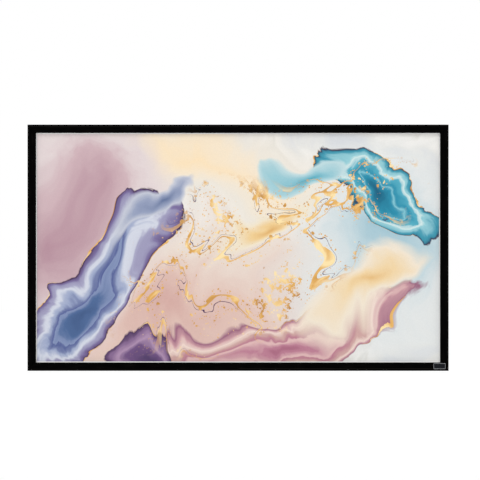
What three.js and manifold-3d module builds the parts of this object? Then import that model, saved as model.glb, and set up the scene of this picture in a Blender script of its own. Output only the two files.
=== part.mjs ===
// Fixed frame projector screen, 100 inch class, 16:9, hung on a wall.
// Millimetres. +X is the viewer's right, +Y runs back to the wall, +Z is up.
// The origin is the centre of the whole screen.
//
// Every side of the frame is drawn in its own section frame (u, v, s):
// u runs inwards from the outer edge, v forwards from the back of the rail, s along the rail.
import * as THREE from 'three';
import { mergeVertices } from 'three/addons/utils/BufferGeometryUtils.js';
import Module from 'manifold-3d';

const wasm = await Module();
wasm.setup();

// Picture and frame
const pictureWidth = 2214;
const pictureHeight = 1245;
const bareMargin = 14; // white fabric left between the picture and the frame
const faceWidth = 46;
const railDepth = 32;
const wall = 1.6; // wall of the aluminium extrusion
const fit = 0.3; // clearance between pieces that seat on each other
const seamGap = 0.3; // butt and mitre joints between rails
const bond = 0.1; // how far joined forms sink into each other

// Face of the rail: a sloping shoulder, a flat land, then a steep reveal down to the picture
const shoulderWidth = 10.5;
const shoulderDrop = 4;
const edgeRadius = 2;
const revealSetback = 3;
const revealRadius = 1.5;
const noseBack = 14;
const footWidth = 8;

// Back of the rail: a T-slot for the corner elbows, then a groove for the clips
const boxWidth = 17;
const outerFlange = 4.5;
const slotWidth = 8;
const channelDepth = 7.4;
const grooveWidth = 5;
const lipDepth = 4.5; // the groove's free lip grows backwards by this much

// Elbows and splices that join the rails
const elbowThickness = 5;
const elbowLeg = 95;
const spliceLength = 160;
const tipRadius = 3;
const setScrewDiameter = 5;
const setScrewEndInset = 20;
const setScrewPitch = 35;

// Projection fabric, hemmed round the tension rods
const fabricThickness = 0.5;
const rodDiameter = 4;
const rodInset = 12; // from the frame's inner edge out to the rod
const hemEndInset = 75; // bare corner without a pocket
const weldWidth = 10;
const weldLap = 1; // the weld reaches this far over the slanting side of the pocket
const weldOffset = 2; // the pocket closes this far out from the frame's inner edge
const flapOverlap = 3; // plain fabric held under the foot of the rail
const rodReach = 6; // rod beyond the end of its pocket

// Clips that pull the rods into the groove
const clipThickness = 1.7;
const clipWidth = 26;
const clipsAcross = 10;
const clipsUp = 6;
const clipEndInset = 95;
const clipNotchSide = 8; // open hem on each side of a clip
const clipBend = 1.5;
const clipHeel = 1; // straight piece between the jaw and the step
const clipStepAngle = 60;
const clipLegGap = 0.8; // from the leg's tip to the floor of the groove
const jawOpening = 70;

// Centre support bar
const barWidth = 24;
const barDepth = 7;
const barBack = 0.4;
const barWall = 1.2;
const barEdge = 1;
const plugLength = 36;
const plugFoot = 4.1;

// Folded steel brackets on the wall
const bracketWidth = 110;
const bracketThickness = 2;
const bracketStandOff = 1; // gap between the rail's back and the bracket's plate
const bracketSpread = 1300; // between the centres of a left and a right bracket
const bracketDrop = 38;
const bracketLip = 3.6;
const bracketHookGap = 0.4; // between the lip and the rail's flange
const bracketBend = 1.5;
const wallSlotLength = 14;
const wallSlotWidth = 5.5;
const wallSlotSpread = 70;
const wallSlotInset = 14; // from the plate's free edge to the slots

// Blank plate across the mitre of the lower right corner
const badgeWidth = 65;
const badgeHeight = 31;
const badgeThickness = 1.2;
const badgeRim = 1.8;
const badgeRecess = 0.4;
const badgeRadius = 3;
const badgeSideInset = 18.5;
const badgeLowInset = 11.2;

// Sizes that follow
const outerWidth = pictureWidth + 2 * (bareMargin + faceWidth);
const outerHeight = pictureHeight + 2 * (bareMargin + faceWidth);
const overallDepth = railDepth + fit + badgeThickness + bracketStandOff + bracketThickness;
const railBackY = overallDepth / 2 - bracketThickness - bracketStandOff;
const slotEnd = outerFlange + slotWidth;
const floorBack = wall + channelDepth;
const lipOuter = boxWidth + grooveWidth;
const lipInner = lipOuter + wall;
const lipEnd = floorBack - lipDepth;
const shoulderAngle = Math.atan2(shoulderDrop, shoulderWidth);
const revealAngle = Math.atan2(revealSetback, railDepth - noseBack);
const rodU = faceWidth - rodInset;
const fabricFront = noseBack - fit;
const pocketRadius = rodDiameter / 2 + fit + fabricThickness / 2; // to the middle of the fabric
const rodV = fabricFront - fabricThickness / 2 - pocketRadius;

const arcStep = 28; // degrees between the points of a bend

const materials = {
  velvet: new THREE.MeshStandardMaterial({ color: 0x0b0b0c, roughness: 1.0, metalness: 0.0 }),
  fabric: new THREE.MeshStandardMaterial({ color: 0xdfdedb, roughness: 0.9, metalness: 0.0 }),
  zinc: new THREE.MeshStandardMaterial({ color: 0x9b9d9f, roughness: 0.45, metalness: 0.9 }),
  aluminium: new THREE.MeshStandardMaterial({ color: 0xb9bbbd, roughness: 0.4, metalness: 0.9 }),
  glassFibre: new THREE.MeshStandardMaterial({ color: 0xd8cfae, roughness: 0.5, metalness: 0.0 }),
  nylon: new THREE.MeshStandardMaterial({ color: 0x1b1c1e, roughness: 0.55, metalness: 0.0 }),
  blackSteel: new THREE.MeshStandardMaterial({ color: 0x17181a, roughness: 0.5, metalness: 0.3 }),
  badge: new THREE.MeshStandardMaterial({ color: 0x8d8f92, roughness: 0.3, metalness: 0.8 })
};

const axisX = new THREE.Vector3(1, 0, 0);
const axisY = new THREE.Vector3(0, 1, 0);
const axisZ = new THREE.Vector3(0, 0, 1);

// Shape helpers

// Closed outline through [x, y, radius] corners, rounded where a radius is given.
function outline(corners, path = new THREE.Shape()) {
  corners.forEach(([x, y, radius = 0], i) => {
    const corner = new THREE.Vector2(x, y);
    const previous = new THREE.Vector2(...corners.at(i - 1));
    const next = new THREE.Vector2(...corners[(i + 1) % corners.length]);
    const before = previous.sub(corner).setLength(radius).add(corner);
    const after = next.sub(corner).setLength(radius).add(corner);
    if (i === 0) path.moveTo(before.x, before.y);
    else path.lineTo(before.x, before.y);
    if (radius > 0) path.quadraticCurveTo(x, y, after.x, after.y);
  });
  path.closePath();
  return path;
}

// Outline of a bent strip of even thickness. It starts at a point with a heading in degrees,
// and each step either goes straight on, { go }, or bends, { turn, radius } with left as positive.
function stripShape(start, heading, steps, thickness) {
  const middle = [];
  const position = new THREE.Vector2(...start);
  let angle = THREE.MathUtils.degToRad(heading);
  const note = () => middle.push({ at: position.clone(), angle });
  note();
  for (const step of steps) {
    if (step.go !== undefined) {
      position.x += step.go * Math.cos(angle);
      position.y += step.go * Math.sin(angle);
      note();
      continue;
    }
    const side = Math.sign(step.turn);
    const total = THREE.MathUtils.degToRad(step.turn);
    const centre = new THREE.Vector2(-Math.sin(angle), Math.cos(angle));
    centre.multiplyScalar(side * step.radius).add(position);
    const chords = Math.max(2, Math.ceil(Math.abs(step.turn) / arcStep));
    for (let i = 0; i < chords; i++) {
      position.rotateAround(centre, total / chords);
      angle += total / chords;
      note();
    }
  }
  const offset = (half) => middle.map(({ at, angle: a }) =>
    new THREE.Vector2(at.x - half * Math.sin(a), at.y + half * Math.cos(a)));
  return new THREE.Shape([...offset(thickness / 2), ...offset(-thickness / 2).reverse()]);
}

function circleHole(x, y, diameter) {
  return new THREE.Path().absarc(x, y, diameter / 2, 0, 2 * Math.PI, true);
}

function extrude(shape, depth, from = 0, curveSegments = 4) {
  const geometry = new THREE.ExtrudeGeometry(shape, { depth, bevelEnabled: false, curveSegments });
  return geometry.translate(0, 0, from);
}

// Plates are drawn as (s, u) outlines with their thickness along v, and the bar as (v, s) along u.
// Both turn into the section frame without a mirror.
const plateToSection = new THREE.Matrix4().makeBasis(axisZ, axisX, axisY);
const barToSection = new THREE.Matrix4().makeBasis(axisY, axisZ, axisX);

// Solid helpers

function solidOf(geometry) {
  const plain = geometry.clone();
  plain.deleteAttribute('normal');
  plain.deleteAttribute('uv');
  const merged = mergeVertices(plain, 1e-4);
  const vertProperties = merged.attributes.position.array;
  const triVerts = new Uint32Array(merged.index.array);
  return new wasm.Manifold(new wasm.Mesh({ numProp: 3, vertProperties, triVerts }));
}

function geometryOf(solid) {
  const { vertProperties, triVerts } = solid.getMesh();
  const indexed = new THREE.BufferGeometry();
  indexed.setAttribute('position', new THREE.BufferAttribute(new Float32Array(vertProperties), 3));
  indexed.setIndex(new THREE.BufferAttribute(new Uint32Array(triVerts), 1));
  const geometry = indexed.toNonIndexed();
  geometry.computeVertexNormals();
  return geometry;
}

function box(sizeX, sizeY, sizeZ, x, y, z) {
  return new THREE.BoxGeometry(sizeX, sizeY, sizeZ).translate(x, y, z);
}

// Scene graph: one group for the screen, and a section frame inside it for each side

const screen = new THREE.Group();

function addMesh(parent, name, geometry, material) {
  const mesh = new THREE.Mesh(geometry, material);
  mesh.name = name;
  parent.add(mesh);
  return mesh;
}

// turn is the side's turn about +Y from the bottom side, and span the distance across to the far side.
function sideFrame(turn, length, span) {
  const side = new THREE.Group();
  side.rotation.y = turn;
  const section = new THREE.Group();
  section.quaternion.setFromRotationMatrix(new THREE.Matrix4().makeBasis(
    axisZ, axisY.clone().negate(), axisX));
  section.position.set(0, railBackY, -span / 2);
  side.add(section);
  screen.add(side);
  return { section, length, span };
}

const sides = {
  bottom: sideFrame(0, outerWidth, outerHeight),
  left: sideFrame(Math.PI / 2, outerHeight, outerWidth),
  top: sideFrame(Math.PI, outerWidth, outerHeight),
  right: sideFrame(-Math.PI / 2, outerHeight, outerWidth)
};

// In the top side's frame s runs to the viewer's left.
const horizontals = [
  { name: 'top', side: sides.top, halves: { left: 1, right: -1 } },
  { name: 'bottom', side: sides.bottom, halves: { left: -1, right: 1 } }
];
const verticals = [
  { name: 'left', side: sides.left },
  { name: 'right', side: sides.right }
];

// Rails: one extrusion, velvet wrapped, mitred at the corners

function railShape() {
  const inner = boxWidth - wall;
  const foot = faceWidth - footWidth;
  const footFront = noseBack + wall;
  const shelfFront = floorBack + wall;
  const landBack = railDepth - wall;
  const shoulderStart = railDepth - shoulderDrop;
  const noseInner = faceWidth - wall / Math.cos(revealAngle);
  const revealInner = (v) => noseInner - (v - noseBack) * Math.tan(revealAngle);
  const shape = outline([
    [0, 0],
    [outerFlange, 0],
    [outerFlange, wall],
    [wall, wall],
    [wall, floorBack],
    [inner, floorBack],
    [inner, wall],
    [slotEnd, wall],
    [slotEnd, 0],
    [boxWidth, 0],
    [boxWidth, floorBack],
    [lipOuter, floorBack],
    [lipOuter, lipEnd],
    [lipInner, lipEnd],
    [lipInner, shelfFront],
    [boxWidth, shelfFront],
    [boxWidth, landBack],
    [revealInner(landBack), landBack],
    [revealInner(footFront), footFront],
    [foot, footFront],
    [foot, noseBack],
    [faceWidth, noseBack],
    [faceWidth - revealSetback, railDepth, revealRadius],
    [shoulderWidth, railDepth],
    [0, shoulderStart, edgeRadius]
  ]);
  const chamber = outline([
    [wall, shelfFront],
    [wall, shoulderStart + wall * Math.tan(shoulderAngle) - wall / Math.cos(shoulderAngle)],
    [shoulderWidth + wall * Math.tan(shoulderAngle / 2), landBack],
    [inner, landBack],
    [inner, shelfFront]
  ], new THREE.Path());
  shape.holes.push(chamber);
  return shape;
}

// A rail from one s to another. A mitred end steps back by u, so that it meets its neighbour at 45 degrees.
function railGeometry(start, end, mitreStart, mitreEnd) {
  const geometry = extrude(railShape(), 1);
  const position = geometry.attributes.position;
  for (let i = 0; i < position.count; i++) {
    const u = position.getX(i);
    const isStart = position.getZ(i) < 0.5;
    const s = isStart ? start + (mitreStart ? u : 0) : end - (mitreEnd ? u : 0);
    position.setZ(i, s);
  }
  geometry.computeVertexNormals();
  return geometry;
}

const mitreSetback = seamGap / Math.SQRT2;

for (const { name, side, halves } of horizontals) {
  const end = side.length / 2 - mitreSetback;
  for (const [half, sign] of Object.entries(halves)) {
    const geometry = sign > 0
      ? railGeometry(seamGap / 2, end, false, true)
      : railGeometry(-end, -seamGap / 2, true, false);
    addMesh(side.section, `${name}_rail_${half}`, geometry, materials.velvet);
  }
}
for (const { name, side } of verticals) {
  const end = side.length / 2 - mitreSetback;
  addMesh(side.section, `${name}_rail`, railGeometry(-end, end, true, true), materials.velvet);
}

// Elbows and splices slide in the T-slot and are locked by set screws

const joinerInner = wall + fit;
const joinerOuter = boxWidth - wall - fit;
const joinerMiddle = (joinerInner + joinerOuter) / 2;
const joinerBack = wall + fit;

function elbowGeometry() {
  const shape = outline([
    [joinerInner, joinerInner, tipRadius],
    [elbowLeg, joinerInner, tipRadius],
    [elbowLeg, joinerOuter, tipRadius],
    [joinerOuter, joinerOuter],
    [joinerOuter, elbowLeg, tipRadius],
    [joinerInner, elbowLeg, tipRadius]
  ]);
  for (const step of [0, 1]) {
    const along = elbowLeg - setScrewEndInset - step * setScrewPitch;
    shape.holes.push(circleHole(along, joinerMiddle, setScrewDiameter));
    shape.holes.push(circleHole(joinerMiddle, along, setScrewDiameter));
  }
  return extrude(shape, elbowThickness, joinerBack, 6);
}

const corners = {
  bottom_left: { x: -1, z: -1, turn: 0 },
  bottom_right: { x: 1, z: -1, turn: -Math.PI / 2 },
  top_right: { x: 1, z: 1, turn: Math.PI },
  top_left: { x: -1, z: 1, turn: Math.PI / 2 }
};

for (const [name, { x, z, turn }] of Object.entries(corners)) {
  const corner = new THREE.Group();
  corner.position.set(x * outerWidth / 2, railBackY, z * outerHeight / 2);
  corner.rotation.y = turn;
  const plate = new THREE.Group();
  plate.quaternion.setFromRotationMatrix(new THREE.Matrix4().makeBasis(
    axisX, axisZ, axisY.clone().negate()));
  corner.add(plate);
  screen.add(corner);
  addMesh(plate, `corner_elbow_${name}`, elbowGeometry(), materials.zinc);
}

function spliceGeometry() {
  const half = spliceLength / 2;
  const shape = outline([
    [-half, joinerInner, tipRadius],
    [half, joinerInner, tipRadius],
    [half, joinerOuter, tipRadius],
    [-half, joinerOuter, tipRadius]
  ]);
  for (const sign of [-1, 1]) {
    for (const step of [0, 1]) {
      const along = sign * (half - setScrewEndInset - step * setScrewPitch);
      shape.holes.push(circleHole(along, joinerMiddle, setScrewDiameter));
    }
  }
  return extrude(shape, elbowThickness, joinerBack, 6).applyMatrix4(plateToSection);
}

for (const { name, side } of horizontals) {
  addMesh(side.section, `rail_splice_${name}`, spliceGeometry(), materials.zinc);
}

// Projection fabric: a flat sheet whose hems run round the rods, open where a clip takes the rod

function spread(count, length, endInset) {
  const pitch = (length - 2 * endInset) / count;
  return Array.from({ length: count }, (_, i) => (i - (count - 1) / 2) * pitch);
}

const clipPlaces = {
  top: spread(clipsAcross, outerWidth, clipEndInset),
  bottom: spread(clipsAcross, outerWidth, clipEndInset),
  left: spread(clipsUp, outerHeight, clipEndInset),
  right: spread(clipsUp, outerHeight, clipEndInset)
};

const flapEdge = faceWidth - footWidth + flapOverlap;
const weldStart = faceWidth - weldOffset;
const fabricMiddle = fabricFront - fabricThickness / 2;
const weldMiddle = fabricMiddle - fabricThickness;

// The pocket is one lap of fabric: out to the rod, round it, and back on a slant to the weld.
function pocketShape() {
  const reach = weldStart - rodU;
  const rise = weldMiddle - rodV;
  const slant = Math.atan2(rise, reach) + Math.asin(pocketRadius / Math.hypot(rise, reach));
  const returnLength = Math.sqrt(rise ** 2 + reach ** 2 - pocketRadius ** 2);
  const steps = [
    { go: reach },
    { turn: 180 + THREE.MathUtils.radToDeg(slant), radius: pocketRadius },
    { go: returnLength }
  ];
  return stripShape([weldStart, fabricMiddle], 180, steps, fabricThickness);
}

// Lengths of pocket between the notches, as [start, end] pairs along s.
function pocketRuns(places, length) {
  const notch = clipWidth / 2 + clipNotchSide;
  const ends = [-length / 2 + hemEndInset];
  for (const s of places) ends.push(s - notch, s + notch);
  ends.push(length / 2 - hemEndInset);
  return Array.from({ length: places.length + 1 }, (_, i) => [ends[2 * i], ends[2 * i + 1]]);
}

function fabricGeometry() {
  const sheet = box(
    outerWidth - 2 * flapEdge, fabricThickness, outerHeight - 2 * flapEdge,
    0, railBackY - fabricMiddle, 0);
  const pieces = [solidOf(sheet)];
  for (const [name, { section, length }] of Object.entries(sides)) {
    section.updateWorldMatrix(true, false);
    const bandLength = length - 2 * hemEndInset;
    const band = box(weldWidth, fabricThickness + bond, bandLength,
      weldStart + weldWidth / 2 - weldLap, weldMiddle + bond / 2, 0);
    pieces.push(solidOf(band.applyMatrix4(section.matrixWorld)));
    for (const [start, end] of pocketRuns(clipPlaces[name], length)) {
      const pocket = extrude(pocketShape(), end - start, start);
      pieces.push(solidOf(pocket.applyMatrix4(section.matrixWorld)));
    }
  }
  return geometryOf(wasm.Manifold.union(pieces));
}

addMesh(screen, 'projection_fabric', fabricGeometry(), materials.fabric);

// Glass fibre rods inside the hems, in two lengths along the top and the bottom

function rodGeometry(start, end) {
  const rod = new THREE.CylinderGeometry(rodDiameter / 2, rodDiameter / 2, end - start, 12);
  return rod.rotateX(Math.PI / 2).translate(rodU, rodV, (start + end) / 2);
}

for (const { name, side, halves } of horizontals) {
  const end = side.length / 2 - hemEndInset + rodReach;
  for (const [half, sign] of Object.entries(halves)) {
    const rod = sign > 0 ? rodGeometry(seamGap / 2, end) : rodGeometry(-end, -seamGap / 2);
    addMesh(side.section, `tension_rod_${name}_${half}`, rod, materials.glassFibre);
  }
}
for (const { name, side } of verticals) {
  const end = side.length / 2 - hemEndInset + rodReach;
  addMesh(side.section, `tension_rod_${name}`, rodGeometry(-end, end), materials.glassFibre);
}

// Clips: a jaw round the rod, an arm over the lip, and a leg in the groove

function clipGeometry() {
  const half = clipThickness / 2;
  const jawRadius = rodDiameter / 2 + fit + half;
  const opening = THREE.MathUtils.degToRad(jawOpening);
  const start = [rodU + jawRadius * Math.cos(opening), rodV + jawRadius * Math.sin(opening)];
  const armV = lipEnd - fit - half;
  const legU = lipOuter - fit - half;
  const stepAngle = THREE.MathUtils.degToRad(clipStepAngle);
  const drop = rodV - jawRadius - armV;
  const slope = (drop - 2 * clipBend * (1 - Math.cos(stepAngle))) / Math.sin(stepAngle);
  const stepLength = 2 * clipBend * Math.sin(stepAngle) + slope * Math.cos(stepAngle);
  const arm = rodU - clipHeel - stepLength - legU - clipBend;
  const leg = floorBack - clipLegGap - armV - clipBend;
  const shape = stripShape(start, jawOpening - 90, [
    { turn: -90 - jawOpening, radius: jawRadius },
    { go: clipHeel },
    { turn: clipStepAngle, radius: clipBend },
    { go: slope },
    { turn: -clipStepAngle, radius: clipBend },
    { go: arm },
    { turn: -90, radius: clipBend },
    { go: leg }
  ], clipThickness);
  return extrude(shape, clipWidth, -clipWidth / 2);
}

// Clips are numbered from the viewer's left, or from the top.
for (const [name, { section }] of Object.entries(sides)) {
  const fromStart = name === 'bottom' || name === 'left';
  const places = fromStart ? clipPlaces[name] : clipPlaces[name].toReversed();
  places.forEach((s, i) => {
    const clip = addMesh(section, `tension_clip_${name}_${i + 1}`, clipGeometry(), materials.nylon);
    clip.position.z = s;
  });
}

// Centre support bar between the top and bottom lips, with a plug in each end that hooks in the groove

const barStart = lipInner + fit;

function barGeometry() {
  const front = barBack + barDepth;
  const half = barWidth / 2;
  const shape = outline([
    [barBack, -half, barEdge],
    [front, -half, barEdge],
    [front, half, barEdge],
    [barBack, half, barEdge]
  ]);
  const bore = outline([
    [barBack + barWall, -half + barWall],
    [front - barWall, -half + barWall],
    [front - barWall, half - barWall],
    [barBack + barWall, half - barWall]
  ], new THREE.Path());
  shape.holes.push(bore);
  return extrude(shape, outerHeight - 2 * barStart, barStart).applyMatrix4(barToSection);
}

function plugGeometry() {
  const back = barBack + barWall + fit;
  const front = barBack + barDepth - barWall - fit;
  const heel = boxWidth + fit;
  const body = barStart + fit;
  const bridge = lipEnd - fit;
  const width = barWidth - 2 * (barWall + fit);
  const shape = outline([
    [heel, back],
    [barStart + plugLength, back],
    [barStart + plugLength, front],
    [body, front],
    [body, bridge],
    [heel + plugFoot, bridge],
    [heel + plugFoot, floorBack - 2 * fit],
    [heel, floorBack - 2 * fit]
  ]);
  return extrude(shape, width, -width / 2);
}

addMesh(sides.bottom.section, 'support_bar', barGeometry(), materials.aluminium);
addMesh(sides.top.section, 'support_bar_plug_top', plugGeometry(), materials.nylon);
addMesh(sides.bottom.section, 'support_bar_plug_bottom', plugGeometry(), materials.nylon);

// Wall brackets: a plate on the wall, a tongue into the T-slot, and a lip that turns up behind its flange.
// The top rail hangs by its outer flange, and the bottom rail by its inner one.

function bracketGeometry(flangeEdge, edgeSide, lipTurn) {
  const half = bracketThickness / 2;
  const tongueU = flangeEdge + edgeSide * (fit + half);
  const plateV = -bracketStandOff - half;
  const lipV = wall + bracketHookGap + half;
  const plate = bracketDrop - bracketBend;
  const shape = stripShape([tongueU + bracketDrop, plateV], 180, [
    { go: plate },
    { turn: -90, radius: bracketBend },
    { go: lipV - plateV - 2 * bracketBend },
    { turn: lipTurn, radius: bracketBend },
    { go: bracketLip - bracketBend }
  ], bracketThickness);
  const bent = solidOf(extrude(shape, bracketWidth, -bracketWidth / 2));
  const slotU = tongueU + bracketDrop - wallSlotInset;
  const round = wallSlotWidth / 2;
  const straight = (wallSlotLength - wallSlotWidth) / 2;
  const cutDepth = 3 * bracketThickness;
  const slots = [-1, 1].map((sign) => {
    const middle = sign * wallSlotSpread / 2;
    const slot = new THREE.Shape();
    slot.absarc(middle + straight, slotU, round, -Math.PI / 2, Math.PI / 2);
    slot.absarc(middle - straight, slotU, round, Math.PI / 2, 3 * Math.PI / 2);
    const cutter = extrude(slot, cutDepth, plateV - cutDepth / 2, 5);
    return solidOf(cutter.applyMatrix4(plateToSection));
  });
  return geometryOf(bent.subtract(wasm.Manifold.union(slots)));
}

const brackets = [
  { name: 'top', side: sides.top, sign: -1, flangeEdge: outerFlange, edgeSide: 1, lipTurn: 90 },
  { name: 'bottom', side: sides.bottom, sign: 1, flangeEdge: slotEnd, edgeSide: -1, lipTurn: -90 }
];

for (const { name, side, sign, flangeEdge, edgeSide, lipTurn } of brackets) {
  for (const [half, direction] of [['left', -1], ['right', 1]]) {
    const geometry = bracketGeometry(flangeEdge, edgeSide, lipTurn);
    const bracket = addMesh(side.section, `wall_bracket_${name}_${half}`, geometry, materials.blackSteel);
    bracket.position.z = sign * direction * bracketSpread / 2;
  }
}

// Blank badge plate with a raised rim, stuck on the flat land

function badgeGeometry() {
  const rounded = (inset, path) => outline([
    [-badgeWidth / 2 + inset, -badgeHeight / 2 + inset, badgeRadius - inset],
    [badgeWidth / 2 - inset, -badgeHeight / 2 + inset, badgeRadius - inset],
    [badgeWidth / 2 - inset, badgeHeight / 2 - inset, badgeRadius - inset],
    [-badgeWidth / 2 + inset, badgeHeight / 2 - inset, badgeRadius - inset]
  ], path);
  const plate = solidOf(extrude(rounded(0), badgeThickness));
  const recess = solidOf(extrude(rounded(badgeRim), badgeThickness, badgeThickness - badgeRecess));
  return geometryOf(plate.subtract(recess).transform(plateToSection.elements));
}

const badge = addMesh(sides.bottom.section, 'badge_plate', badgeGeometry(), materials.badge);
badge.position.set(
  badgeLowInset + badgeHeight / 2,
  railDepth + fit,
  outerWidth / 2 - badgeSideInset - badgeWidth / 2);

export default screen;
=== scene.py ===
# Fixed frame projector screen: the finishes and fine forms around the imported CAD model.
import math

import bmesh
import bpy
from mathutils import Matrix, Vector
from mathutils.geometry import tessellate_polygon


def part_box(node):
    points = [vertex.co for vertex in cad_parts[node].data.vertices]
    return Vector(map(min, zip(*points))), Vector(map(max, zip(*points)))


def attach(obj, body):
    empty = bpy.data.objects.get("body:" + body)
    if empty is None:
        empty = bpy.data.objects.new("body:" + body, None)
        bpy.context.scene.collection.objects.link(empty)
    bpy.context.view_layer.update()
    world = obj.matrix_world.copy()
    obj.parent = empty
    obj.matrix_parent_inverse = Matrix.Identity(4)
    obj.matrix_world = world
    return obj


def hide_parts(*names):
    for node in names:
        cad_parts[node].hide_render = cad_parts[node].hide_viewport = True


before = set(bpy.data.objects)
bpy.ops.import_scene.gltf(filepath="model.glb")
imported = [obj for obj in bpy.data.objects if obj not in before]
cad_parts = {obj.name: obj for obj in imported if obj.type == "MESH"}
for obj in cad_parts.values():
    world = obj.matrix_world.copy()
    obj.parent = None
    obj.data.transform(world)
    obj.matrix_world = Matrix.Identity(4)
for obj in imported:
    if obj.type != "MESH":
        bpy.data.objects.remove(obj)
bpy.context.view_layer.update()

mm = 0.001  # sizes in the dictionaries are in millimetres

# Sizes read from the CAD nodes
leftRailLow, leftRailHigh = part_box("left_rail")
screenWidth = 2 * abs(leftRailLow.x) / mm
screenHeight = 2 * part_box("top_rail_left")[1].z / mm
faceWidth = (leftRailHigh.x - leftRailLow.x) / mm
railDepth = (leftRailHigh.y - leftRailLow.y) / mm
railBackY = leftRailHigh.y / mm

# In a side's section u runs inwards from the outer edge, v forwards from the rail's back, s along the rail
sides = {
    "bottom": {"along": (1, 0, 0), "inward": (0, 0, 1), "turn": 0},
    "right": {"along": (0, 0, 1), "inward": (-1, 0, 0), "turn": -90},
    "top": {"along": (-1, 0, 0), "inward": (0, 0, -1), "turn": 180},
    "left": {"along": (0, 0, -1), "inward": (1, 0, 0), "turn": 90},
}
for name, side in sides.items():
    level = name in ("bottom", "top")
    side["length"] = screenWidth if level else screenHeight
    side["span"] = screenHeight if level else screenWidth


def place(side, u, v, s):
    point = Vector(side["inward"]) * (u - side["span"] / 2) + Vector(side["along"]) * s
    point.y = railBackY - v
    return point * mm


# Colours and nodes


def toLinear(hexColour, alpha=1.0):
    channels = [int(hexColour[i:i + 2], 16) / 255 for i in (1, 3, 5)]
    return tuple(c / 12.92 if c <= 0.04045 else ((c + 0.055) / 1.055) ** 2.4 for c in channels) + (alpha,)


def setInputs(node, inputs):
    # a value may be plain, a socket, or a node, which then gives its first output in use
    for name, value in inputs.items():
        used = [s for s in node.inputs if s.enabled]
        target = used[name] if isinstance(name, int) else next(s for s in used if s.name == name)
        if isinstance(value, bpy.types.Node):
            value = next(s for s in value.outputs if s.enabled)
        if isinstance(value, bpy.types.NodeSocket):
            node.id_data.links.new(value, target)
        else:
            target.default_value = value


def addNode(tree, kind, inputs=None, stops=(), **settings):
    node = tree.nodes.new(kind)
    for name, value in settings.items():
        setattr(node, name, value)
    for i, (position, colour) in enumerate(stops):
        known = node.color_ramp.elements  # a new ramp has two stops
        stop = known[i] if i < 2 else known.new(position)
        stop.position = position
        stop.color = toLinear(colour)
    setInputs(node, inputs or {})
    return node


def newMaterial(name, inputs, patternOn="object"):
    # gives the material, its tree and shader, and the coordinates that its patterns lie on
    material = bpy.data.materials.new(name)
    material.use_nodes = True
    tree = material.node_tree
    shader = tree.nodes["Principled BSDF"]
    setInputs(shader, inputs)
    at = None
    if patternOn == "object":
        at = addNode(tree, "ShaderNodeTexCoord").outputs["Object"]
    elif patternOn == "strip":
        at = addNode(tree, "ShaderNodeUVMap", uv_map="UVMap")
    return material, tree, shader, at


def drawnOut(tree, at, scale, detail):
    # noise stretched into marks along one way
    stretched = addNode(tree, "ShaderNodeMapping", {"Vector": at, "Scale": scale})
    return addNode(tree, "ShaderNodeTexNoise", {"Vector": stretched, "Scale": 1, "Detail": detail})


def toneAndGloss(tree, shader, pattern, stops, glossiest, dullest, spread=(0, 1)):
    # one pattern gives both the colour and the roughness, over its spread of values
    tone = addNode(tree, "ShaderNodeValToRGB", {"Fac": pattern}, stops=stops)
    roughness = addNode(tree, "ShaderNodeMapRange", {
        "Value": pattern, "From Min": spread[0], "From Max": spread[1],
        "To Min": glossiest, "To Max": dullest})
    setInputs(shader, {"Base Color": tone, "Roughness": roughness})


# Outlines and shells


def roundedPath(corners, steps=4, closed=True):
    # corners are (x, y) or (x, y, radius), and one with a radius becomes an arc
    points = []
    count = len(corners)
    for i, corner in enumerate(corners):
        here = Vector(corner[:2])
        radius = corner[2] if len(corner) > 2 else 0
        if radius == 0 or (not closed and i in (0, count - 1)):
            points.append(here)
            continue
        back = (Vector(corners[i - 1][:2]) - here).normalized()
        ahead = (Vector(corners[(i + 1) % count][:2]) - here).normalized()
        half = back.angle(ahead) / 2
        centre = here + (back + ahead).normalized() * radius / math.sin(half)
        first = here + back * radius / math.tan(half) - centre
        last = here + ahead * radius / math.tan(half) - centre
        swing = -first.angle_signed(last)
        for k in range(steps + 1):
            a = swing * k / steps
            points.append(centre + Vector((first.x * math.cos(a) - first.y * math.sin(a),
                                           first.x * math.sin(a) + first.y * math.cos(a))))
    return points


def bentPath(start, heading, steps, arcStep=12):
    # the middle line of a bent strip: each step goes straight on, or turns about a radius, left as positive
    here = Vector(start)
    a = math.radians(heading)
    points = [here.copy()]
    for kind, value, *rest in steps:
        if kind == "go":
            here += value * Vector((math.cos(a), math.sin(a)))
            points.append(here.copy())
            continue
        count = max(2, math.ceil(abs(value) / arcStep))
        swing = math.radians(value) / count
        chord = 2 * rest[0] * math.sin(abs(swing) / 2)
        for _ in range(count):
            here += chord * Vector((math.cos(a + swing / 2), math.sin(a + swing / 2)))
            a += swing
            points.append(here.copy())
    return points


def offsetPath(points, distance):
    # to the left of the way the path runs
    moved = []
    for i, point in enumerate(points):
        back = (point - points[i - 1]).normalized() if i > 0 else None
        ahead = (points[i + 1] - point).normalized() if i < len(points) - 1 else None
        back, ahead = back or ahead, ahead or back
        normal = Vector((-(back.y + ahead.y), back.x + ahead.x)).normalized()
        lean = max(0.3, normal.dot(Vector((-back.y, back.x))))
        moved.append(point + normal * distance / lean)
    return moved


def stripOutline(points, thickness, endRadius=0):
    near = offsetPath(points, thickness / 2)
    far = offsetPath(points, -thickness / 2)[::-1]
    corners = [[*p] for p in near + far]
    for i in (0, len(near) - 1, len(near), len(corners) - 1):
        corners[i].append(endRadius)
    return roundedPath(corners, steps=2)


def circlePath(x, y, radius, count):
    angles = [2 * math.pi * k / count for k in range(count)]
    return [Vector((x + radius * math.cos(a), y + radius * math.sin(a))) for a in angles]


def pathLength(points):
    return sum((b - a).length for a, b in zip(points, points[1:]))


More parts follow.
